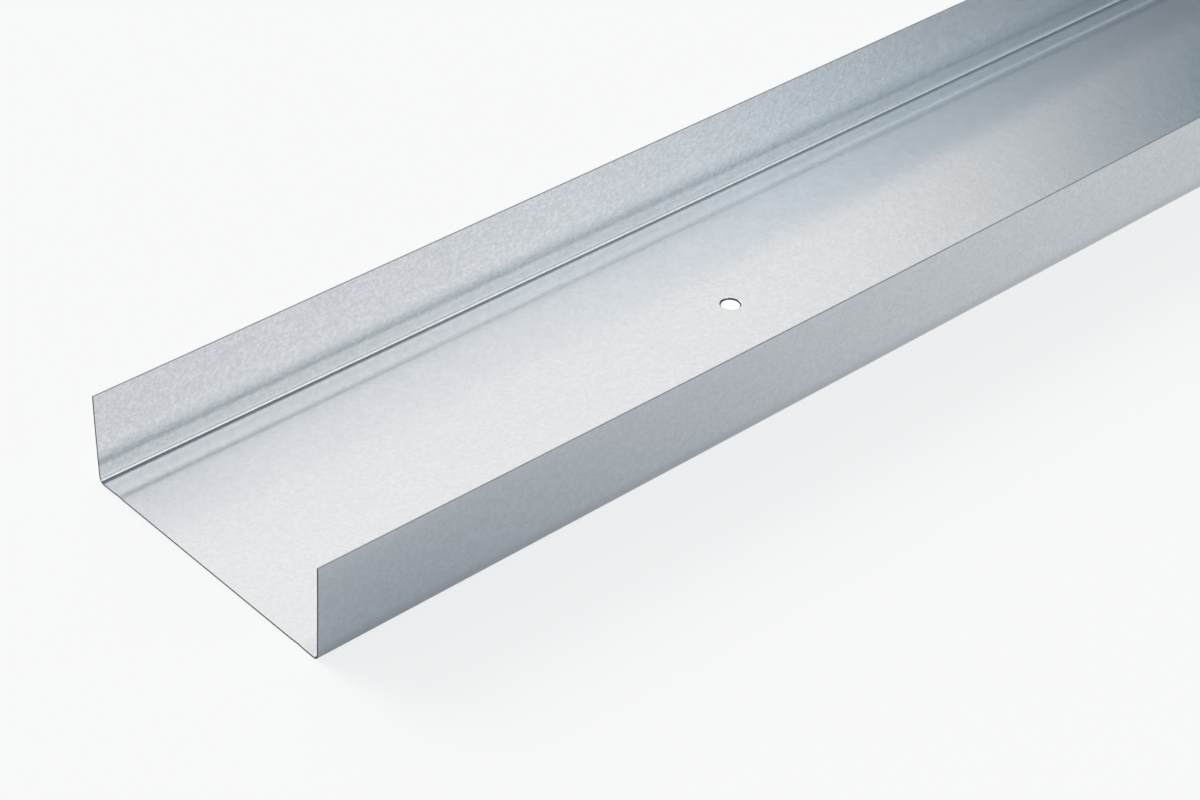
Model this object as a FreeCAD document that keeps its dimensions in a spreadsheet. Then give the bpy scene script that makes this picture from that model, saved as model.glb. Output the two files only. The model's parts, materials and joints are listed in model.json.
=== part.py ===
import FreeCAD, Part
import math
import os

import Sketcher
from FreeCAD import Placement, Rotation, Vector

# A drywall track: one strip of galvanised sheet, roll-formed into a wide shallow U.
# The web lies on the floor at Z = 0, the track runs along X and is centred on X and Y,
# and its two flanges stand up along Z, so that studs drop in between them from above.

# Driving dimensions in millimetres, and one count.
SIZES = {
    "track_length": 3048.0,
    "web_width": 103.0,
    "flange_height": 31.75,
    "sheet_thickness": 0.55,
    "bend_radius": 1.4,
    "bead_inset": 9.3,
    "bead_width": 4.8,
    "bead_height": 0.25,
    "hole_diameter": 6.9,
    "hole_end_distance": 206.5,
    "hole_count": 6,
}

NODE = "drywall_track"

# Points of a sketch's lines and arcs, and the sketch's own origin and horizontal axis.
START = 1
END = 2
CENTRE = 3
ORIGIN = -1

# How closely the metal that the punch takes out has to match the holes, as a share of one hole.
PUNCH_TOLERANCE = 0.01


def make_sheet(doc):
    """Writes the driving dimensions into a sheet, one row each: a name and a number."""
    sheet = doc.addObject("Spreadsheet::Sheet", "Dims")
    for row, (alias, value) in enumerate(SIZES.items(), start=1):
        sheet.set(f"A{row}", alias)
        sheet.set(f"B{row}", str(value))
        sheet.setAlias(f"B{row}", alias)
    doc.recompute()
    return sheet


def origin_feature(body, role):
    """Finds one of the body's own origin planes or axes by its role."""
    return next(f for f in body.Origin.OriginFeatures if f.Role == role)


def new_sketch(body, name, role):
    """Starts a sketch on one of the body's own origin planes."""
    sketch = body.newObject("Sketcher::SketchObject", name)
    sketch.AttachmentSupport = (origin_feature(body, role), "")
    sketch.MapMode = "FlatFace"
    return sketch


def tie(sketch, *terms):
    """Adds one constraint to a sketch and gives its number."""
    return sketch.addConstraint(Sketcher.Constraint(*terms))


def bind(sketch, name, expression, *terms):
    """Adds a named dimension to a sketch and binds it to the sheet."""
    sketch.renameConstraint(tie(sketch, *terms), name)
    sketch.setExpression(f"Constraints.{name}", expression)


def arc(centre, radius, first_degrees, last_degrees):
    """An arc in a sketch, run anticlockwise from its first angle to its last."""
    circle = Part.Circle(centre, Vector(0, 0, 1), radius)
    return Part.ArcOfCircle(circle, math.radians(first_degrees), math.radians(last_degrees))


def half_section(body):
    """Draws half of the rolled section, from the web's middle to one flange's top edge.

    Each face of the sheet is a chain of lines and arcs: the web, the bead (a toe, a crown and
    a toe), the strip beside the bend, the bend and the flange. The arcs of the two chains share
    their centres, so the sheet keeps one thickness all the way round.
    """
    sketch = new_sketch(body, "HalfSection", "YZ_Plane")

    # Places at the stated sizes: the solver starts from the finished outline.
    half_web = SIZES["web_width"] / 2
    top = SIZES["flange_height"]
    sheet = SIZES["sheet_thickness"]
    inner = SIZES["bend_radius"]
    outer = inner + sheet
    half_bead = SIZES["bead_width"] / 2
    rise = SIZES["bead_height"]
    bead = half_web - SIZES["bead_inset"]
    round_over = (half_bead**2 + rise**2) / (4 * rise)
    lean = math.degrees(math.asin(half_bead / (2 * round_over)))
    bend = half_web - outer
    toe_near = Vector(bead - half_bead, sheet + round_over, 0)
    crown = Vector(bead, sheet + rise - round_over, 0)
    toe_far = Vector(bead + half_bead, sheet + round_over, 0)
    bend_centre = Vector(bend, outer, 0)

    def face(depth):
        """Lines and arcs of one face of the sheet: its upper face at depth 0, its lower one below."""
        level = sheet - depth
        return [
            Part.LineSegment(Vector(0, level, 0), Vector(bead - half_bead, level, 0)),
            arc(toe_near, round_over + depth, 270, 270 + lean),
            arc(crown, round_over - depth, 90 - lean, 90 + lean),
            arc(toe_far, round_over + depth, 270 - lean, 270),
            Part.LineSegment(Vector(bead + half_bead, level, 0), Vector(bend, level, 0)),
            arc(bend_centre, inner + depth, 270, 360),
            Part.LineSegment(Vector(bend + inner + depth, outer, 0), Vector(bend + inner + depth, top, 0)),
        ]

    upper = sketch.addGeometry(face(0), False)
    lower = sketch.addGeometry(face(sheet), False)
    ends = [
        Part.LineSegment(Vector(0, 0, 0), Vector(0, sheet, 0)),
        Part.LineSegment(Vector(half_web - sheet, top, 0), Vector(half_web, top, 0)),
    ]
    middle, lip = sketch.addGeometry(ends, False)

    # Each chain is smooth from the web to the flange: every joint is a tangent one.
    joints = [(END, START), (END, END), (START, START), (END, START), (END, START), (END, START)]
    for chain in (upper, lower):
        for index, (leaving, arriving) in enumerate(joints):
            tie(sketch, "Tangent", chain[index], leaving, chain[index + 1], arriving)
        web_line, strip_line, flange_line = chain[0], chain[4], chain[6]
        tie(sketch, "Horizontal", web_line)
        tie(sketch, "Horizontal", strip_line)
        tie(sketch, "Vertical", flange_line)

    # The two faces share the centres of their arcs.
    upper_toe, upper_crown, upper_far_toe, upper_bend = upper[1], upper[2], upper[3], upper[5]
    for index in (1, 2, 3, 5):
        tie(sketch, "Coincident", upper[index], CENTRE, lower[index], CENTRE)

    # The web's middle stands on the origin, and the lip closes the flange.
    tie(sketch, "Coincident", middle, START, ORIGIN, START)
    tie(sketch, "Coincident", middle, START, lower[0], START)
    tie(sketch, "Coincident", middle, END, upper[0], START)
    tie(sketch, "Coincident", lip, START, upper[6], END)
    tie(sketch, "Coincident", lip, END, lower[6], END)
    tie(sketch, "Vertical", middle)
    tie(sketch, "Horizontal", lip)

    # The bead's three arcs have one radius, which its width and height give.
    tie(sketch, "Equal", upper_toe, upper_crown)
    tie(sketch, "Equal", upper_crown, upper_far_toe)
    bead_round = "((Dims.bead_width / 2) ^ 2 + Dims.bead_height ^ 2) / (4 * Dims.bead_height)"

    dimensions = [
        ("Sheet", "Dims.sheet_thickness", "DistanceY", middle, START, middle, END, sheet),
        ("HalfWeb", "Dims.web_width / 2", "DistanceX", ORIGIN, START, lip, END, half_web),
        ("Flange", "Dims.flange_height", "DistanceY", ORIGIN, START, lip, END, top),
        ("Bend", "Dims.bend_radius", "Radius", upper_bend, inner),
        ("Bead", "Dims.web_width / 2 - Dims.bead_inset", "DistanceX", ORIGIN, START, upper_crown, CENTRE, bead),
        ("BeadNear", "Dims.bead_width / 2", "DistanceX", upper_toe, CENTRE, upper_crown, CENTRE, half_bead),
        ("BeadFar", "Dims.bead_width / 2", "DistanceX", upper_crown, CENTRE, upper_far_toe, CENTRE, half_bead),
        ("BeadRound", bead_round, "Radius", upper_crown, round_over),
    ]
    for dimension in dimensions:
        bind(sketch, *dimension)
    return sketch


def rolled_channel(doc, body):
    """Carries the half section along the track and mirrors it into the whole U."""
    section = half_section(body)
    half = body.newObject("PartDesign::Pad", "HalfTrack")
    half.Profile = section
    half.SideType = "Symmetric"
    half.setExpression("Length", "Dims.track_length")
    doc.recompute()
    channel = body.newObject("PartDesign::Mirrored", "Channel")
    channel.Originals = [half]
    channel.MirrorPlane = (origin_feature(body, "XZ_Plane"), [""])
    body.Tip = channel
    doc.recompute()
    return section


def punched_holes(doc, body):
    """Punches the row of fixing holes along the web's middle, as far from one end as from the other."""
    sketch = new_sketch(body, "FirstHole", "XY_Plane")
    radius = SIZES["hole_diameter"] / 2
    place = SIZES["hole_end_distance"] - SIZES["track_length"] / 2
    hole = sketch.addGeometry(Part.Circle(Vector(place, 0, 0), Vector(0, 0, 1), radius), False)
    tie(sketch, "PointOnObject", hole, CENTRE, ORIGIN)
    bind(sketch, "Hole", "Dims.hole_diameter", "Diameter", hole, 2 * radius)
    from_middle = "Dims.track_length / 2 - Dims.hole_end_distance"
    bind(sketch, "FromMiddle", from_middle, "DistanceX", hole, CENTRE, ORIGIN, START, -place)
    before = body.Shape.Volume

    punch = body.newObject("PartDesign::Pocket", "FirstPunch")
    punch.Profile = sketch
    punch.Type = "ThroughAll"
    punch.Reversed = True
    doc.recompute()

    row = body.newObject("PartDesign::LinearPattern", "HoleRow")
    row.Originals = [punch]
    row.Direction = (origin_feature(body, "X_Axis"), [""])
    row.Mode = "Extent"
    row.setExpression("Length", "Dims.track_length - 2 * Dims.hole_end_distance")
    row.setExpression("Occurrences", "Dims.hole_count")
    body.Tip = row
    doc.recompute()
    return before - body.Shape.Volume


def check(doc, body, section, punched):
    """Stops unless every object recomputed and the solid is sound, symmetric and fully punched."""
    failed = [o.Name for o in doc.Objects if "Invalid" in o.State or "Error" in o.State]
    if failed:
        raise RuntimeError(f"objects that failed: {failed}")
    if not section.FullyConstrained:
        raise RuntimeError("the section isn't fully constrained")
    shape = body.Shape
    if shape.isNull() or not shape.isValid() or len(shape.Solids) != 1:
        raise RuntimeError("the track isn't one valid solid")
    slug = math.pi * (SIZES["hole_diameter"] / 2) ** 2 * SIZES["sheet_thickness"]
    if abs(punched - SIZES["hole_count"] * slug) > PUNCH_TOLERANCE * slug:
        raise RuntimeError("the holes aren't all punched through the web")


def main():
    """Builds the track and writes it to its file."""
    doc = FreeCAD.newDocument("DrywallTrack")
    make_sheet(doc)
    body = doc.addObject("PartDesign::Body", "Track")
    body.Label = NODE
    body.Placement = Placement(Vector(0, 0, 0), Rotation())
    section = rolled_channel(doc, body)
    punched = punched_holes(doc, body)
    check(doc, body, section, punched)
    os.makedirs("parts", exist_ok=True)
    body.Shape.exportStep(os.path.join("parts", f"{body.Label}.step"))
    print(f"{body.Label}: {body.Shape.Volume:.1f} cubic millimetres, {len(body.Shape.Faces)} faces")


main()
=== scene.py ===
"""Looks of a drywall track: one strip of galvanised sheet, rolled into a wide shallow U.

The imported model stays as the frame. One numpy surface stands for its only node: the rolled section
with its bends and beads, carried along the track, with the punched holes let into the web.
"""

import json
import logging
import math
from dataclasses import dataclass
from enum import IntEnum

import bpy
import numpy as np
from mathutils import Matrix, Vector


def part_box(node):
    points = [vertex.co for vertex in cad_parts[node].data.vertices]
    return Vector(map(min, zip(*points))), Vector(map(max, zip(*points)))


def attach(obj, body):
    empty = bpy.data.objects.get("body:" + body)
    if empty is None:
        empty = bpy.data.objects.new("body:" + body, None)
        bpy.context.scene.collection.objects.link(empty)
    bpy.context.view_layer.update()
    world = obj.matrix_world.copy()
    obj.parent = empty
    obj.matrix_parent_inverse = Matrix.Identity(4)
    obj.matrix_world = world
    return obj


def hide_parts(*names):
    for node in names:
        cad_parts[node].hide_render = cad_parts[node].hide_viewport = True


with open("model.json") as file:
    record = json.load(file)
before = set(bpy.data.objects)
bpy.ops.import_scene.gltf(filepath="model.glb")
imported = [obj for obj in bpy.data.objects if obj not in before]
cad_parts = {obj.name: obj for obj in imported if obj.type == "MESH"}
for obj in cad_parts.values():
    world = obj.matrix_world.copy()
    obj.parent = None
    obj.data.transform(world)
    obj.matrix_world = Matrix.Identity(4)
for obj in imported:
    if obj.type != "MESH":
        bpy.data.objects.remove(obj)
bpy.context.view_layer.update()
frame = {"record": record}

LOG = logging.getLogger("drywall_track")
NODE = "drywall_track"
BODY = "root"
SHEET = "drywall_track_sheet"
FLOOR = "studio_floor"
MM = 0.001

# Middle of a tone that runs from 0 to 1.
MIDDLE = 0.5

# Angles round an arc of the section, in degrees.
TOP = 90.0
BOTTOM = 270.0
FULL_TURN = 360.0

Colour = tuple[float, float, float]
Triple = tuple[float, float, float]
Point = tuple[float, float]
Span = tuple[float, float]


class Face(IntEnum):
    """Which finish a face of the track has, as its place in the mesh's list of materials."""

    INSIDE = 0
    OUTSIDE = 1
    SLIT = 2
    CUT = 3


class Axis(IntEnum):
    """Parts of a place or direction: along the track, across it and up."""

    ALONG = 0
    ACROSS = 1
    UP = 2


class Pin(IntEnum):
    """Places of the colour sockets on a Mix node, whose names several sockets share."""

    FACTOR = 0
    FIRST = 6
    SECOND = 7
    RESULT = 2


class Socket:
    """One value in a shader. Python's operators on it add Math nodes."""

    def __init__(self, graph: "Graph", pin: "bpy.types.NodeSocket | None") -> None:
        """Keeps the graph that the value belongs to and the pin that gives it, if its node has one."""
        self.graph = graph
        self.pin = pin

    def math(self, operation: str, *others: "Socket | float") -> "Socket":
        """Adds one Math node with this value first and the others after it."""
        return self.graph.node("Math", {"operation": operation}, dict(enumerate((self, *others))))

    def __add__(self, other: "Socket | float") -> "Socket":
        """This value and another together."""
        return self.math("ADD", other)

    def __radd__(self, other: float) -> "Socket":
        """A number and this value together."""
        return self.math("ADD", other)

    def __mul__(self, other: "Socket | float") -> "Socket":
        """This value times another."""
        return self.math("MULTIPLY", other)

    def __rmul__(self, other: float) -> "Socket":
        """A number times this value."""
        return self.math("MULTIPLY", other)

    def __sub__(self, other: "Socket | float") -> "Socket":
        """This value less another."""
        return self.math("SUBTRACT", other)

    def __rsub__(self, other: float) -> "Socket":
        """A number less this value."""
        return self.graph.node("Math", {"operation": "SUBTRACT"}, {0: other, 1: self})

    def __truediv__(self, other: "Socket | float") -> "Socket":
        """This value over another."""
        return self.math("DIVIDE", other)

    def __rtruediv__(self, other: float) -> "Socket":
        """A number over this value."""
        return self.graph.node("Math", {"operation": "DIVIDE"}, {0: other, 1: self})

    def eased(self, low: float, high: float) -> "Socket":
        """0 where this value is under low and 1 where it is over high, with a smooth step between."""
        ease = {"interpolation_type": "SMOOTHSTEP"}
        return self.graph.node("MapRange", ease, {0: self, 1: low, 2: high, 3: 0.0, 4: 1.0})

    def close_to(self, place: float, reach: float) -> "Socket":
        """1 where this value is at a place, with a smooth fall to 0 a reach away on both sides."""
        return 1.0 - (self - place).math("ABSOLUTE").eased(0.0, reach)

    def beside(self, out: str) -> "Socket":
        """Another output of the node that gives this value."""
        return Socket(self.graph, self.pin.node.outputs[out])


class Graph:
    """A node tree that is written as expressions."""

    def __init__(self, tree: bpy.types.NodeTree) -> None:
        """Takes a node tree and empties it."""
        tree.nodes.clear()
        self.tree = tree

    def node(
        self,
        kind: str,
        settings: dict[str, object] | None = None,
        pins: "dict[str | int, Socket | float | tuple[float, ...]] | None" = None,
        out: str | int = 0,
    ) -> Socket:
        """Adds one node.

        Args:
            kind: the node's type, without its leading word.
            settings: the node's own settings, which are set first.
            pins: a value or a link for each of its input sockets, by name or place.
            out: the output that the caller wants, by name or place.

        Returns:
            that output.
        """
        made = self.tree.nodes.new(f"ShaderNode{kind}")
        for name, value in (settings or {}).items():
            setattr(made, name, value)
        for name, value in (pins or {}).items():
            if isinstance(value, Socket):
                self.tree.links.new(value.pin, made.inputs[name])
            else:
                made.inputs[name].default_value = value
        return Socket(self, made.outputs[out] if made.outputs else None)

    def mix(self, factor: Socket, first: "Socket | Colour", second: "Socket | Colour") -> Socket:
        """A colour that goes from the first to the second as the factor goes from 0 to 1."""
        ends = [(*end, 1.0) if isinstance(end, tuple) else end for end in (first, second)]
        pins = {Pin.FACTOR: factor, Pin.FIRST: ends[0], Pin.SECOND: ends[1]}
        return self.node("Mix", {"data_type": "RGBA"}, pins, Pin.RESULT)

    def vector(self, operation: str, *terms: "Socket | Triple", out: str = "Vector") -> Socket:
        """Adds one Vector Math node."""
        return self.node("VectorMath", {"operation": operation}, dict(enumerate(terms)), out)

    def place(self) -> Socket:
        """Where on the object, in metres."""
        return self.node("TexCoord", out="Object")

    def part(self, place: Socket, axis: Axis) -> Socket:
        """One part of a place or direction."""
        return self.node("SeparateXYZ", {}, {0: place}, axis)

    def noise(self, place: Socket, grain: float, detail: float = 2.0) -> Socket:
        """Soft noise, about 0 to 1, whose patches are about one grain across, in metres."""
        return self.node("TexNoise", {}, {"Vector": place, "Scale": 1.0 / grain, "Detail": detail})

    def stretched(self, place: Socket, scale: Triple) -> Socket:
        """The place, scaled along each axis so that a pattern on it runs longer or shorter there."""
        return self.vector("MULTIPLY", place, scale)


def new_material(name: str) -> tuple[bpy.types.Material, Graph]:
    """A new material and the graph of its nodes."""
    material = bpy.data.materials.new(name)
    material.use_nodes = True
    return material, Graph(material.node_tree)


@dataclass(frozen=True)
class ZincCoat:
    """Hot-dip zinc with a fine spangle: small crystals, each with its own tone and its own streaks."""

    name: str
    light: Colour = (0.870, 0.875, 0.880)
    dark: Colour = (0.781, 0.788, 0.795)
    shade_run: Span = (0.2, 0.8)
    web_vigour: float = 0.52
    flange_vigour: float = 1.2
    flange_foot: Span = (2.0 * MM, 7.0 * MM)
    roughness: float = 0.215
    roughness_spread: float = 0.05

    # Grains of the patterns, and their shares in the tone and in the sheen.
    crystal: float = 0.95 * MM
    streak: float = 0.38 * MM
    streak_shift: float = 60.0
    streak_share: float = 0.5
    cloud: float = 38.0 * MM
    roll_line: float = 1.1 * MM
    roll_stretch: Triple = (0.012, 1.0, 1.0)
    fleck_tone: float = 0.8
    cloud_tone: float = 0.1
    roll_tone: float = 0.1
    fleck_sheen: float = 0.7
    cloud_sheen: float = 0.3

    # Relief, which is far too fine for the mesh.
    bump: float = 1.0
    bump_height: float = 0.015 * MM
    ripple: float = 5.0 * MM
    ripple_detail: float = 1.0

    # Bands of painted shade and reflection, a little rougher too: how strong, how far from the web's
    # middle or floor, how wide.
    web_shade_band: float = 0.28
    web_shade_band_place: float = 47.0 * MM
    web_shade_band_reach: float = 3.9 * MM
    flange_shade_band: float = 0.30
    flange_shade_band_place: float = 9.8 * MM
    flange_shade_band_reach: float = 4.8 * MM
    shade_band_colour: Colour = (0.49, 0.60, 0.615)
    shade_band_roughness: float = 0.03

    def flecks(self, graph: Graph, place: Socket) -> Socket:
        """Tone of each crystal together with the streaks in it.

        Voronoi cells stand for the crystals. A cell's random colour gives its tone and, as a direction,
        the way its streaks lie: the distance from the cell's centre along that direction reads a line
        of noise.

        Args:
            graph: the material's nodes.
            place: where on the track, in metres.

        Returns:
            the tone, about 0 to 1.
        """
        pins = {"Vector": place, "Scale": 1.0 / self.crystal}
        cell = graph.node("TexVoronoi", {}, pins, "Color")
        tone = graph.node("SeparateColor", {}, {0: cell})
        away = graph.vector("SUBTRACT", place, cell.beside("Position"))
        lie = graph.vector("NORMALIZE", graph.vector("SUBTRACT", cell, (MIDDLE, MIDDLE, MIDDLE)))
        along = graph.vector("DOT_PRODUCT", away, lie, out="Value") / self.streak
        pins = {"W": along + tone * self.streak_shift, "Scale": 1.0}
        line = graph.node("TexNoise", {"noise_dimensions": "1D"}, pins)
        return tone * (1.0 - self.streak_share) + line * self.streak_share

    def painted_shade_bands(self, graph: Graph, place: Socket) -> Socket:
        """How much the bands of painted shade and reflection darken the coat, and dull it a little.

        There is one band on each side of the web beside the bend and one along each flange, which on the
        outside lies on the bend as painted shade where the flange meets the floor. A band fades smoothly
        from its middle to nothing.

        Args:
            graph: the material's nodes.
            place: where on the track, in metres.

        Returns:
            the mask, 0 to 1.
        """
        across = graph.part(place, Axis.ACROSS).math("ABSOLUTE")
        height = graph.part(place, Axis.UP)
        web = across.close_to(self.web_shade_band_place, self.web_shade_band_reach)
        flange = height.close_to(self.flange_shade_band_place, self.flange_shade_band_reach)
        return web * self.web_shade_band + flange * self.flange_shade_band

    def material(self) -> bpy.types.Material:
        """The finish as a material."""
        material, graph = new_material(self.name)
        place = graph.place()
        fleck = self.flecks(graph, place)
        cloud = graph.noise(place, self.cloud)
        rolled = graph.noise(graph.stretched(place, self.roll_stretch), self.roll_line)
        shade_band = self.painted_shade_bands(graph, place)

        tone = fleck * self.fleck_tone + cloud * self.cloud_tone + rolled * self.roll_tone
        foot = graph.part(place, Axis.UP).eased(*self.flange_foot)
        vigour = foot * (self.flange_vigour - self.web_vigour) + self.web_vigour
        shade = (tone.eased(*self.shade_run) - MIDDLE) * vigour + MIDDLE
        # Painted shade and reflection: the bands pull the coat's colour towards a darker teal.
        colour = graph.mix(shade_band, graph.mix(shade, self.dark, self.light), self.shade_band_colour)

        sheen = (MIDDLE - fleck * self.fleck_sheen - cloud * self.cloud_sheen) * self.roughness_spread
        roughness = self.roughness + sheen + shade_band * self.shade_band_roughness
        relief = fleck + graph.noise(place, self.ripple, self.ripple_detail)
        pins = {"Strength": self.bump, "Distance": self.bump_height, "Height": relief}
        normal = graph.node("Bump", {}, pins)
        pins = {"Base Color": colour, "Metallic": 1.0, "Roughness": roughness, "Normal": normal}
        shader = graph.node("BsdfPrincipled", {}, pins)
        graph.node("OutputMaterial", {}, {"Surface": shader})
        return material


@dataclass(frozen=True)
class ShearedEdge:
    """Bare steel where the sheet was cut: dull, dark, with short marks of the blade."""

    name: str
    light: Colour
    dark: Colour
    roughness: float = 0.55
    roughness_spread: float = 0.2
    mark: float = 0.35 * MM
    mark_stretch: Triple = (1.0, 1.0, 0.3)
    mark_run: Span = (0.3, 0.7)
    bare: float = 0.5

    def material(self) -> bpy.types.Material:
        """The finish as a material."""
        material, graph = new_material(self.name)
        mark = graph.noise(graph.stretched(graph.place(), self.mark_stretch), self.mark)
        colour = graph.mix(mark.eased(*self.mark_run), self.dark, self.light)
        roughness = self.roughness + (mark - MIDDLE) * self.roughness_spread
        pins = {"Base Color": colour, "Metallic": self.bare, "Roughness": roughness}
        shader = graph.node("BsdfPrincipled", {}, pins)
        graph.node("OutputMaterial", {}, {"Surface": shader})
        return material


FINISHES: dict[Face, ZincCoat | ShearedEdge] = {
    # Painted shade and reflection: the inside keeps the default bands beside each bend and along each
    # flange.
    Face.INSIDE: ZincCoat("zinc_spangle_inside"),
    Face.OUTSIDE: ZincCoat(
        "zinc_spangle_outside",
        # The outside is a little bluer than the inside: a painted cool tint of the shade that it mirrors.
        light=(0.858, 0.876, 0.893),
        dark=(0.767, 0.789, 0.810),
        flange_vigour=1.0,
        web_shade_band=0.0,
        # Painted shade: on the outside the flange band lies at the foot, darkening where the flange meets
        # the floor.
        flange_shade_band=0.42,
        flange_shade_band_place=2.0 * MM,
        flange_shade_band_reach=3.8 * MM,
        shade_band_colour=(0.55, 0.58, 0.575),
    ),
    Face.SLIT: ShearedEdge("slit_steel_lip", (0.355, 0.38, 0.40), (0.195, 0.215, 0.235)),
    # The cut ends and the hole walls are near black: bare steel, darkened further with painted shade under
    # the ends and inside the holes.
    Face.CUT: ShearedEdge("sheared_steel_and_shade", (0.07, 0.072, 0.074), (0.028, 0.029, 0.031)),
}


@dataclass(frozen=True)
class FloorPaint:
    """Plain pale floor, quite dull, which glows a share whiter than it is lit.

    To the eye the share is the same all over. In the metal it grows along the track from the cut end,
    with a little more in a strip beside each flange: a painted pool of light that the metal mirrors.
    Under the web, where only the holes show the floor, it is all white, which paints out the shade under
    the holes.
    """

    colour: Colour = (0.810, 0.822, 0.837)
    white: Colour = (1.0, 1.0, 1.0)
    eye_white: float = 0.78
    metal_white: float = 0.39
    metal_white_run: Span = (-1.55, -1.18)
    strip_white: float = 0.05
    strip_place: float = 62.0 * MM
    strip_reach: float = 14.0 * MM
    under_web: Span = (8.0 * MM, 12.0 * MM)
    under_length: Span = (1.48, 1.50)

    def material(self) -> bpy.types.Material:
        """The finish as a material."""
        material, graph = new_material(FLOOR)
        paint = graph.node("BsdfDiffuse", {}, {"Color": (*self.colour, 1.0)})
        glow = graph.node("Emission", {}, {"Color": (*self.white, 1.0), "Strength": 1.0})
        place = graph.place()
        along = graph.part(place, Axis.ALONG)
        across = graph.part(place, Axis.ACROSS).math("ABSOLUTE")
        strip = across.close_to(self.strip_place, self.strip_reach)
        # Painted light: in the metal the floor glows more along the track and beside each flange, and
        # fully under the web.
        run = along.eased(*self.metal_white_run) * self.metal_white + strip * self.strip_white
        beyond = along.math("ABSOLUTE").eased(*self.under_length)
        under = 1.0 - across.eased(*self.under_web).math("MAXIMUM", beyond)
        eye = graph.node("LightPath", out="Is Camera Ray")
        metal = eye.beside("Is Glossy Ray").math("MAXIMUM", eye.beside("Is Transmission Ray"))
        in_metal = metal * run.math("MAXIMUM", under)
        share = (eye * under.math("MAXIMUM", self.eye_white)).math("MAXIMUM", in_metal)
        shader = graph.node("MixShader", {}, {0: share, 1: paint, 2: glow})
        graph.node("OutputMaterial", {}, {"Surface": shader})
        return material


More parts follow.
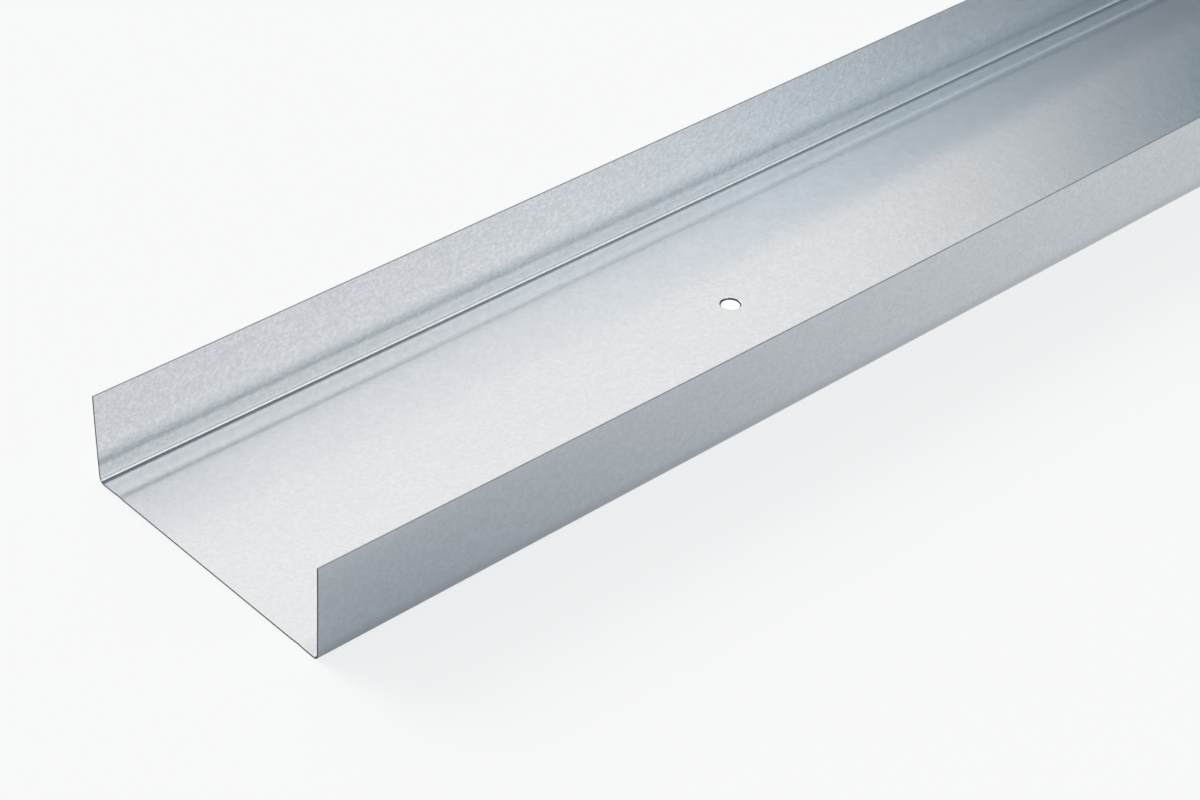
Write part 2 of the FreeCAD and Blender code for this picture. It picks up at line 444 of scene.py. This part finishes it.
@dataclass
class RolledSection:
    """Section across the track, as lines and arcs that run on smoothly, at one thickness all the way."""

    half_width: float
    height: float
    sheet: float = 0.55 * MM
    bend: float = 1.55 * MM
    bead_inset: float = 9.0 * MM
    climb_run: float = 3.2 * MM
    climb_rise: float = 0.164 * MM
    fall_run: float = 2.4 * MM
    fall_angle: float = 8.0
    strip_angle: float = 0.8
    guard: float = 0.06 * MM

    # How many parts each run is in.
    web_steps: int = 8
    climb_steps: int = 5
    fall_steps: int = 6
    strip_steps: int = 3
    bend_steps: int = 12
    flange_steps: int = 8

    def line(self, start: Point, stop: Point, steps: int) -> np.ndarray:
        """Points of a straight run, without its first: start plus a share of the way to stop.

        Args:
            start: where the run begins.
            stop: where it ends.
            steps: how many equal parts it is in, apart from the narrow one that guards each end.

        Returns:
            one row for each point: its place and the direction away from the sheet.
        """
        way = np.subtract(stop, start)
        length = float(np.hypot(*way))
        guard = self.guard / length
        shares = np.concatenate([np.linspace(0.0, 1.0, steps + 1), [guard, 1.0 - guard]])
        share = np.unique(shares)[1:, None]
        away = np.broadcast_to([-way[1] / length, way[0] / length], (len(share), 2))
        return np.hstack([np.add(start, share * way), away])

    @staticmethod
    def turn(centre: Point, radius: float, angles: Span, steps: int) -> np.ndarray:
        """Points of an arc, without its first: the centre plus the radius at each angle.

        Args:
            centre: the arc's centre.
            radius: its radius.
            angles: its first and last angle, in degrees.
            steps: how many equal parts it is in.

        Returns:
            one row for each point: its place and the direction away from the sheet, which is towards
            the centre where the angle grows and away from it where the angle falls.
        """
        angle = np.radians(np.linspace(*angles, steps + 1))[1:, None]
        spoke = np.hstack([np.cos(angle), np.sin(angle)])
        away = spoke if angles[1] < angles[0] else -spoke
        return np.hstack([np.add(centre, radius * spoke), away])

    def half(self, start: float) -> np.ndarray:
        """Upper face from a place on the web out to the far lip.

        The web runs flat to the bead. The bead climbs by its rise in a toe and a crown of one radius,
        and falls at a steeper angle in a crown and a toe of another. From there a strip falls gently
        to the bend, which takes up the rest of the quarter turn, and the flange goes straight up. The
        heights are worked out from the bend inwards, so the web ends up a hair off the floor.

        Args:
            start: how far from the web's middle the run starts.

        Returns:
            one row for each point: its place and the direction away from the sheet.
        """
        outer = self.bend + self.sheet
        corner = self.half_width - outer
        inside = self.half_width - self.sheet
        bead = self.half_width - self.bead_inset
        steep, gentle = math.radians(self.fall_angle), math.radians(self.strip_angle)
        slack = self.fall_run / (2.0 * math.sin(steep) - math.sin(gentle))
        foot = (corner - self.bend * math.sin(gentle), outer - self.bend * math.cos(gentle))
        toe = (bead + self.fall_run, foot[1] + (foot[0] - bead - self.fall_run) * math.tan(gentle))
        toe_centre = (toe[0] + slack * math.sin(gentle), toe[1] + slack * math.cos(gentle))
        toe_angle = BOTTOM - self.strip_angle
        crest = toe[1] + slack * (1.0 + math.cos(gentle) - 2.0 * math.cos(steep))
        web = crest - self.climb_rise
        start_toe = bead - self.climb_run
        swell = (self.climb_run**2 + self.climb_rise**2) / (4.0 * self.climb_rise)
        climb = math.degrees(math.asin(self.climb_run / (2.0 * swell)))
        runs = [
            np.array([[start, web, 0.0, 1.0]]),
            self.line((start, web), (start_toe, web), self.web_steps),
            self.turn((start_toe, web + swell), swell, (BOTTOM, BOTTOM + climb), self.climb_steps),
            self.turn((bead, crest - swell), swell, (TOP + climb, TOP), self.climb_steps),
            self.turn((bead, crest - slack), slack, (TOP, TOP - self.fall_angle), self.fall_steps),
            self.turn(toe_centre, slack, (BOTTOM - self.fall_angle, toe_angle), self.fall_steps),
            self.line(toe, foot, self.strip_steps),
            self.turn((corner, outer), self.bend, (toe_angle, FULL_TURN), self.bend_steps),
            self.line((inside, outer), (inside, self.height), self.flange_steps),
        ]
        return np.vstack(runs)

    def faces(self, window: float, steps: int) -> tuple[np.ndarray, np.ndarray, int]:
        """Upper and lower face from the near lip to the far one.

        The far half is mirrored into the near one, and the lower face is the upper one moved by the
        sheet's thickness against the direction away from it.

        Args:
            window: half the width of the strip along the web's middle that takes the holes.
            steps: how many equal parts that strip is in.

        Returns:
            the upper face's points, the lower face's, and the number of the strip's first point.
        """
        far = self.half(window)
        near = far[::-1] * (-1.0, 1.0, -1.0, 1.0)
        level = np.linspace(-window, window, steps + 1)[1:-1]
        middle = np.tile([0.0, far[0, 1], 0.0, 1.0], (len(level), 1))
        middle[:, 0] = level
        whole = np.vstack([near, middle, far])
        upper = whole[:, :2]
        lower = upper - self.sheet * whole[:, 2:]
        return upper, lower, len(near) - 1


@dataclass
class PunchedHoles:
    """Row of round fixing holes along the web's middle, with the rolled-over rim that a punch leaves."""

    places: np.ndarray
    radius: float
    window: float = 8.0 * MM
    steps: int = 14
    roll: float = 0.10 * MM
    taper: float = 0.35 * MM
    rim_points: int = 5
    ring_shares: tuple[float, ...] = (0.3, 0.55, 0.76, 0.92)
    first_corner: float = -135.0

    def loop(self) -> tuple[np.ndarray, np.ndarray]:
        """Steps along and across the square window round a hole, anticlockwise from its first corner."""
        rise = np.arange(self.steps)
        low = np.zeros(self.steps, int)
        high = np.full(self.steps, self.steps)
        along = np.concatenate([rise, high, self.steps - rise, low])
        across = np.concatenate([low, rise, high, self.steps - rise])
        return along, across

    def rings(self, square: np.ndarray, centre: float, sheet: float) -> tuple[np.ndarray, int]:
        """Rings of points from the window's square down through a hole and out again below.

        Each ring is a share of the square plus a share of the circle. The rim turns over in a quarter
        round, then the wall goes down and a little inwards.

        Args:
            square: the window's points on the upper face, one row each.
            centre: the hole's place along the track.
            sheet: the sheet's thickness.

        Returns:
            the rings' points, ring by ring, and the number of the ring at the wall's top.
        """
        around = np.linspace(0.0, 2.0 * np.pi, len(square), endpoint=False)
        angle = np.radians(self.first_corner) + around
        spoke = np.column_stack([np.cos(angle), np.sin(angle)])
        flat = square[:, :2] - (centre, 0.0)
        turn = np.linspace(0.0, np.pi / 2.0, self.rim_points)
        reach = self.radius + self.roll * (1.0 - np.sin(turn))
        narrow = self.radius - self.taper
        top = square[0, 2]
        drop = top - self.roll * (1.0 - np.cos(turn))
        above = [(1.0 - s) * flat + s * reach[0] * spoke for s in self.ring_shares]
        rim = [r * spoke for r in reach]
        below = [(1.0 - s) * flat + s * narrow * spoke for s in (1.0, *reversed(self.ring_shares))]
        heights = np.concatenate([np.full(len(above), top), drop, np.full(len(below), top - sheet)])
        flat_rings = np.array(above + rim + below) + (centre, 0.0)
        tall = np.broadcast_to(heights[:, None, None], (*flat_rings.shape[:2], 1))
        return np.concatenate([flat_rings, tall], axis=2).reshape(-1, 3), len(above) + len(rim) - 1


@dataclass(frozen=True)
class Bow:
    """How a flange's lip leans out: by a steady amount and by a wave along the track."""

    steady: float
    reach: float
    crest: float
    length: float

    def lean(self, along: np.ndarray) -> np.ndarray:
        """The steady lean plus the reach times the cosine of the way from the crest.

        Args:
            along: places along the track, from its first end.

        Returns:
            how far the lip leans out at each place. The cosine makes one turn in each wave's length.
        """
        return self.steady + self.reach * np.cos((along - self.crest) * 2.0 * np.pi / self.length)


@dataclass
class DrywallTrack:
    """The whole track: the rolled section along its length, with the holes let into the web."""

    low: Triple
    high: Triple
    holes: PunchedHoles
    step: float = 24.0 * MM
    near_bow: Bow = Bow(-0.38 * MM, 1.35 * MM, 0.24, 1.0)
    far_bow: Bow = Bow(-0.09 * MM, -0.52 * MM, 0.12, 1.35)
    bow_inset: float = 3.0 * MM
    cut_skew: float = 0.3 * MM
    cut_lean: float = -0.93 * MM
    cut_reach: float = 30.0 * MM
    crisp_angle: float = 40.0

    def stations(self) -> tuple[np.ndarray, np.ndarray]:
        """Places of the sections along the track, close together at the holes.

        Returns:
            the places, and the number of the first one in each hole's window.
        """
        window = self.holes.window
        sides = (self.holes.places[:, None] + (-window, window)).ravel()
        marks = np.concatenate([[self.low[0]], sides, [self.high[0]]])
        counts = np.ceil(np.diff(marks) / self.step).astype(int)
        counts[1::2] = self.holes.steps
        spans = zip(marks, marks[1:], counts)
        runs = [np.linspace(start, stop, count, endpoint=False) for start, stop, count in spans]
        return np.concatenate([*runs, marks[-1:]]), np.cumsum(counts)[0:-1:2]

    def bowed(self, points: np.ndarray, height: float) -> np.ndarray:
        """Leans the lips out and in along the track, as thin flanges do, and skews the first end.

        A lip moves by its flange's bow, and a point below it by the square of its share of the height.
        The end moves along the track by the skew and by the lean's share of the height, from one way
        at one side to the other way at the other.

        Args:
            points: points of the track.
            height: the flange's height.

        Returns:
            the same points, moved.
        """
        along = points[:, 0] - self.low[0]
        share = np.clip(points[:, 2] / height, 0.0, 1.0)
        lean = np.where(points[:, 1] < 0.0, -self.near_bow.lean(along), self.far_bow.lean(along))
        flange = np.abs(points[:, 1]) > self.high[1] - self.bow_inset
        side = points[:, 1] / self.high[1] * np.clip(1.0 - along / self.cut_reach, 0.0, 1.0)
        moved = points.copy()
        moved[:, 1] += np.where(flange, lean * share**2, 0.0)
        moved[:, 0] += side * (self.cut_skew + self.cut_lean * share)
        return moved

    @staticmethod
    def cells(grid: np.ndarray) -> np.ndarray:
        """Quads of a grid of point numbers, anticlockwise seen from above."""
        corners = [grid[:-1, :-1], grid[1:, :-1], grid[1:, 1:], grid[:-1, 1:]]
        return np.stack(corners, axis=2).reshape(-1, 4)

    @staticmethod
    def borders(grid: np.ndarray, under: np.ndarray) -> tuple[list[np.ndarray], list[np.ndarray]]:
        """Quads that join the sheet's two faces along its borders.

        Args:
            grid: point numbers of the upper face.
            under: point numbers of the lower face.

        Returns:
            those along the two lips, and those across the two ends.
        """
        near = np.column_stack([grid[:-1, 0], under[:-1, 0], under[1:, 0], grid[1:, 0]])
        far = np.column_stack([grid[:-1, -1], grid[1:, -1], under[1:, -1], under[:-1, -1]])
        start = np.column_stack([grid[0, :-1], grid[0, 1:], under[0, 1:], under[0, :-1]])
        stop = np.column_stack([grid[-1, :-1], under[-1, :-1], under[-1, 1:], grid[-1, 1:]])
        return [near, far], [start, stop]

    def surface(self) -> tuple[np.ndarray, np.ndarray, np.ndarray]:
        """The closed surface: a grid of section by place along the track for each face of the sheet.

        The grids are left open at the holes' windows, where rings lead down through the hole. Strips
        join the two faces at the lips and at the ends.

        Returns:
            the points, the quads, and each quad's finish.
        """
        section = RolledSection(self.high[1], self.high[2])
        along, windows = self.stations()
        upper, lower, first = section.faces(self.holes.window, self.holes.steps)
        rows, columns = len(along), len(upper)
        grid = np.arange(rows * columns).reshape(rows, columns)
        under = grid + grid.size
        places = np.repeat(along, columns)
        points = [np.column_stack([places, np.tile(face, (rows, 1))]) for face in (upper, lower)]

        keep = np.ones((rows - 1, columns - 1), bool)
        inside = windows[:, None] + np.arange(self.holes.steps)
        keep[inside.ravel(), first : first + self.holes.steps] = False
        quads = [self.cells(grid)[keep.ravel()]]
        backs = [self.cells(under)[keep.ravel()][:, ::-1]]
        lips, cuts = self.borders(grid, under)

        run, across = self.holes.loop()
        total = 2 * grid.size
        for place, row in zip(self.holes.places, windows):
            square = grid[row + run, first + across]
            rings, wall = self.holes.rings(points[0][square], place, section.sheet)
            made = total + np.arange(len(rings)).reshape(-1, len(run))
            loops = np.vstack([square, made, under[row + run, first + across]])
            onward = np.roll(loops, -1, 1)
            bands = np.stack([loops[:-1], onward[:-1], onward[1:], loops[1:]], axis=2)
            quads.append(bands[: wall + 1].reshape(-1, 4))
            cuts.append(bands[wall + 1])
            backs.append(bands[wall + 2 :].reshape(-1, 4))
            points.append(rings)
            total += len(rings)

        sets = [np.vstack(some) for some in (quads, backs, lips, cuts)]
        finish = np.repeat(list(Face), [len(some) for some in sets])
        used, faces = np.unique(np.vstack(sets), return_inverse=True)
        return self.bowed(np.vstack(points), section.height)[used], faces.reshape(-1, 4), finish

    def build(self) -> bpy.types.Object:
        """Makes the track's object from its surface, with crisp cut edges and smooth bends."""
        points, faces, finish = self.surface()
        mesh = bpy.data.meshes.new(SHEET)
        mesh.from_pydata(points.tolist(), [], faces.tolist())
        mesh.polygons.foreach_set("material_index", finish.astype(np.int32))
        mesh.shade_smooth()
        mesh.set_sharp_from_angle(angle=math.radians(self.crisp_angle))
        mesh.update()
        track = bpy.data.objects.new(SHEET, mesh)
        bpy.context.collection.objects.link(track)
        return track

    def dress(self, track: bpy.types.Object) -> None:
        """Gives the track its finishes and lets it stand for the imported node."""
        for face in Face:
            track.data.materials.append(FINISHES[face].material())
        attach(track, BODY)
        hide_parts(NODE)


@dataclass(frozen=True)
class Room:
    """Light of the studio by the direction it comes from, which is what the metal mirrors.

    Two bright walls stand along the track under a dim ceiling, which is a little lighter ahead. The far
    wall goes dark at its end. The near wall is dimmer at its foot and at its back, turns bluer in a
    stretch of dusk before its dark end, and has a darker shoulder between its top and the ceiling.
    """

    far_wall: Colour = (0.98, 0.98, 0.985)
    far_end: Colour = (0.0, 0.08, 0.135)
    near_wall: Colour = (1.252, 1.236, 1.259)
    near_foot: Colour = (0.804, 0.82, 0.845)
    near_back: Colour = (0.912, 0.970, 1.046)
    near_dusk: Colour = (1.28, 1.74, 2.01)
    near_end: Colour = (0.0, 0.016, 0.048)
    shoulder_back: Colour = (0.03, 0.10, 0.12)
    shoulder_end: Colour = (0.06, 0.13, 0.17)
    ceiling: Colour = (0.135, 0.16, 0.177)
    ceiling_ahead: Colour = (0.25, 0.29, 0.32)

    # Where one stretch passes into the next along the track.
    far_end_run: Span = (0.645, 0.733)
    near_back_run: Span = (0.1, 0.55)
    near_dusk_run: Span = (0.583, 0.69)
    near_end_run: Span = (0.615, 0.706)
    shoulder_run: Span = (0.46, 0.54)
    shoulder_end_run: Span = (0.57, 0.65)
    ceiling_run: Span = (0.49, 0.58)

    # Where one stretch passes into the next on the way up.
    far_wall_top: Span = (0.88, 0.98)
    near_wall_foot: Span = (0.33, 0.62)
    near_wall_top: Span = (0.69, 0.82)
    near_end_foot: Span = (0.28, 0.46)
    near_end_top: Span = (0.80, 0.90)
    shoulder_top: Span = (0.84, 0.92)
    rise_power: float = 0.35

    # Half the width of the seam between the near side and the far one.
    seam: float = 0.1

    def near_side(self, graph: Graph, east: Socket, rise: Socket, ceiling: Socket) -> Socket:
        """The near wall with its shoulder, up to the ceiling.

        Args:
            graph: the world's nodes.
            east: how far a direction points along the track.
            rise: how high it points.
            ceiling: the ceiling's light.

        Returns:
            the light of that side.
        """
        above_foot = rise.eased(*self.near_end_foot)
        wall = graph.mix(rise.eased(*self.near_wall_foot), self.near_foot, self.near_wall)
        wall = graph.mix(east.eased(*self.near_back_run), self.near_back, wall)
        wall = graph.mix(east.eased(*self.near_dusk_run) * above_foot, wall, self.near_dusk)
        shoulder = graph.mix(east.eased(*self.shoulder_run), self.shoulder_back, self.ceiling_ahead)
        shoulder = graph.mix(east.eased(*self.shoulder_end_run), shoulder, self.shoulder_end)
        shoulder = graph.mix(rise.eased(*self.shoulder_top), shoulder, ceiling)
        side = graph.mix(rise.eased(*self.near_wall_top), wall, shoulder)
        between = above_foot * (1.0 - rise.eased(*self.near_end_top))
        return graph.mix(east.eased(*self.near_end_run) * between, side, self.near_end)

    def far_side(self, graph: Graph, east: Socket, rise: Socket, ceiling: Socket) -> Socket:
        """The far wall, up to the ceiling.

        Args:
            graph: the world's nodes.
            east: how far a direction points along the track.
            rise: how high it points.
            ceiling: the ceiling's light.

        Returns:
            the light of that side.
        """
        side = graph.mix(rise.eased(*self.far_wall_top), self.far_wall, ceiling)
        return graph.mix(east.eased(*self.far_end_run), side, self.far_end)

    def build(self) -> bpy.types.World:
        """Lights the scene with the room.

        East, north and up are a direction's three parts. Rise is up over a power of one less east
        squared, so that a level on a wall stays about level from one end of the track to the other.

        Returns:
            the scene's new world.
        """
        world = bpy.data.worlds.new("studio_room")
        world.use_nodes = True
        bpy.context.scene.world = world
        graph = Graph(world.node_tree)
        way = graph.node("TexCoord", out="Generated")
        east, north, up = (graph.part(way, axis) for axis in Axis)
        rise = up / (1.0 - east * east).math("POWER", self.rise_power)
        ceiling = graph.mix(east.eased(*self.ceiling_run), self.ceiling, self.ceiling_ahead)
        near = self.near_side(graph, east, rise, ceiling)
        far = self.far_side(graph, east, rise, ceiling)
        colour = graph.mix(north.eased(-self.seam, self.seam), near, far)
        shader = graph.node("Background", {}, {"Color": colour, "Strength": 1.0})
        graph.node("OutputWorld", {}, {"Surface": shader})
        return world


@dataclass
class Studio:
    """What stands in the room: a pale floor, and a wide soft lamp behind the track."""

    floor_reach: float = 30.0
    floor_drop: float = 0.1 * MM
    key_heading: float = 100.0
    key_height: float = 32.0
    key_spread: float = 30.0
    key_strength: float = 1.96
    key_colour: Colour = (1.0, 0.965, 0.925)

    def floor(self) -> bpy.types.Object:
        """A square sheet just under the track, each corner a reach away along both axes."""
        side = np.array([-self.floor_reach, self.floor_reach])
        level = np.full(4, -self.floor_drop)
        corners = np.column_stack([side[[0, 1, 1, 0]], side[[0, 0, 1, 1]], level])
        mesh = bpy.data.meshes.new(FLOOR)
        mesh.from_pydata(corners.tolist(), [], [(0, 1, 2, 3)])
        mesh.materials.append(FloorPaint().material())
        sheet = bpy.data.objects.new(FLOOR, mesh)
        bpy.context.collection.objects.link(sheet)
        return sheet

    def key(self) -> bpy.types.Object:
        """A wide soft lamp from behind, which lights the floor and leaves the near side in soft shadow."""
        lamp = bpy.data.lights.new("back_softbox", "SUN")
        lamp.energy = self.key_strength
        lamp.color = self.key_colour
        lamp.angle = math.radians(self.key_spread)
        softbox = bpy.data.objects.new("back_softbox", lamp)
        bpy.context.collection.objects.link(softbox)
        heading, height = math.radians(self.key_heading), math.radians(self.key_height)
        level = math.cos(height)
        way = Vector((level * math.cos(heading), level * math.sin(heading), math.sin(height)))
        softbox.rotation_euler = way.to_track_quat("Z", "Y").to_euler()
        return softbox


@dataclass
class Viewpoint:
    """The photograph's camera: where it stands from the cut end, where it looks and how far it zooms."""

    end: float
    away: Triple = (-0.39759, -0.57110, 0.56744)
    heading: float = 46.155
    dip: float = 36.165
    roll: float = -2.584
    zoom_pixels: float = 3160.58
    frame_pixels: float = 1200.0
    sensor: float = 36.0

    def build(self) -> bpy.types.Object:
        """Makes the camera and takes it as the scene's own."""
        heading, dip, roll = (math.radians(angle) for angle in (self.heading, self.dip, self.roll))
        flat = math.cos(dip)
        ahead = Vector((flat * math.cos(heading), flat * math.sin(heading), -math.sin(dip)))
        level = ahead.cross(Vector((0.0, 0.0, 1.0))).normalized()
        fall = ahead.cross(level)
        right = level * math.cos(roll) + fall * math.sin(roll)
        up = right.cross(ahead)
        turn = Matrix((right, up, -ahead)).transposed().to_4x4()
        data = bpy.data.cameras.new("photo_camera")
        data.sensor_width = self.sensor
        data.sensor_fit = "HORIZONTAL"
        data.lens = self.zoom_pixels * self.sensor / self.frame_pixels
        camera = bpy.data.objects.new("photo_camera", data)
        bpy.context.collection.objects.link(camera)
        place = Vector(self.away) + Vector((self.end, 0.0, 0.0))
        camera.matrix_world = Matrix.Translation(place) @ turn
        bpy.context.scene.camera = camera
        return camera


def fixing_holes(record: dict) -> PunchedHoles:
    """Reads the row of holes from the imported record: half its spacing each way for every pair."""
    pairs = [mount["dims"] for mount in record["mounts"] if mount["kind"] == "bolt_pattern"]
    reach = np.array([pair["spacing_x_mm"] for pair in pairs]) * MM / 2.0
    return PunchedHoles(np.sort(np.concatenate([-reach, reach])), pairs[0]["hole_r_mm"] * MM)


def main() -> None:
    logging.basicConfig(level=logging.INFO)
    low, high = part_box(NODE)
    track = DrywallTrack(tuple(low), tuple(high), fixing_holes(frame["record"]))
    sheet = track.build()
    track.dress(sheet)
    LOG.info("%s: %d faces", sheet.name, len(sheet.data.polygons))
    studio = Studio()
    LOG.info("%s laid", studio.floor().name)
    LOG.info("%s hung", studio.key().name)
    LOG.info("%s lit", Room().build().name)
    LOG.info("%s set", Viewpoint(low[0]).build().name)
    bpy.context.scene.view_settings.view_transform = "Standard"


if __name__ == "__main__":
    main()
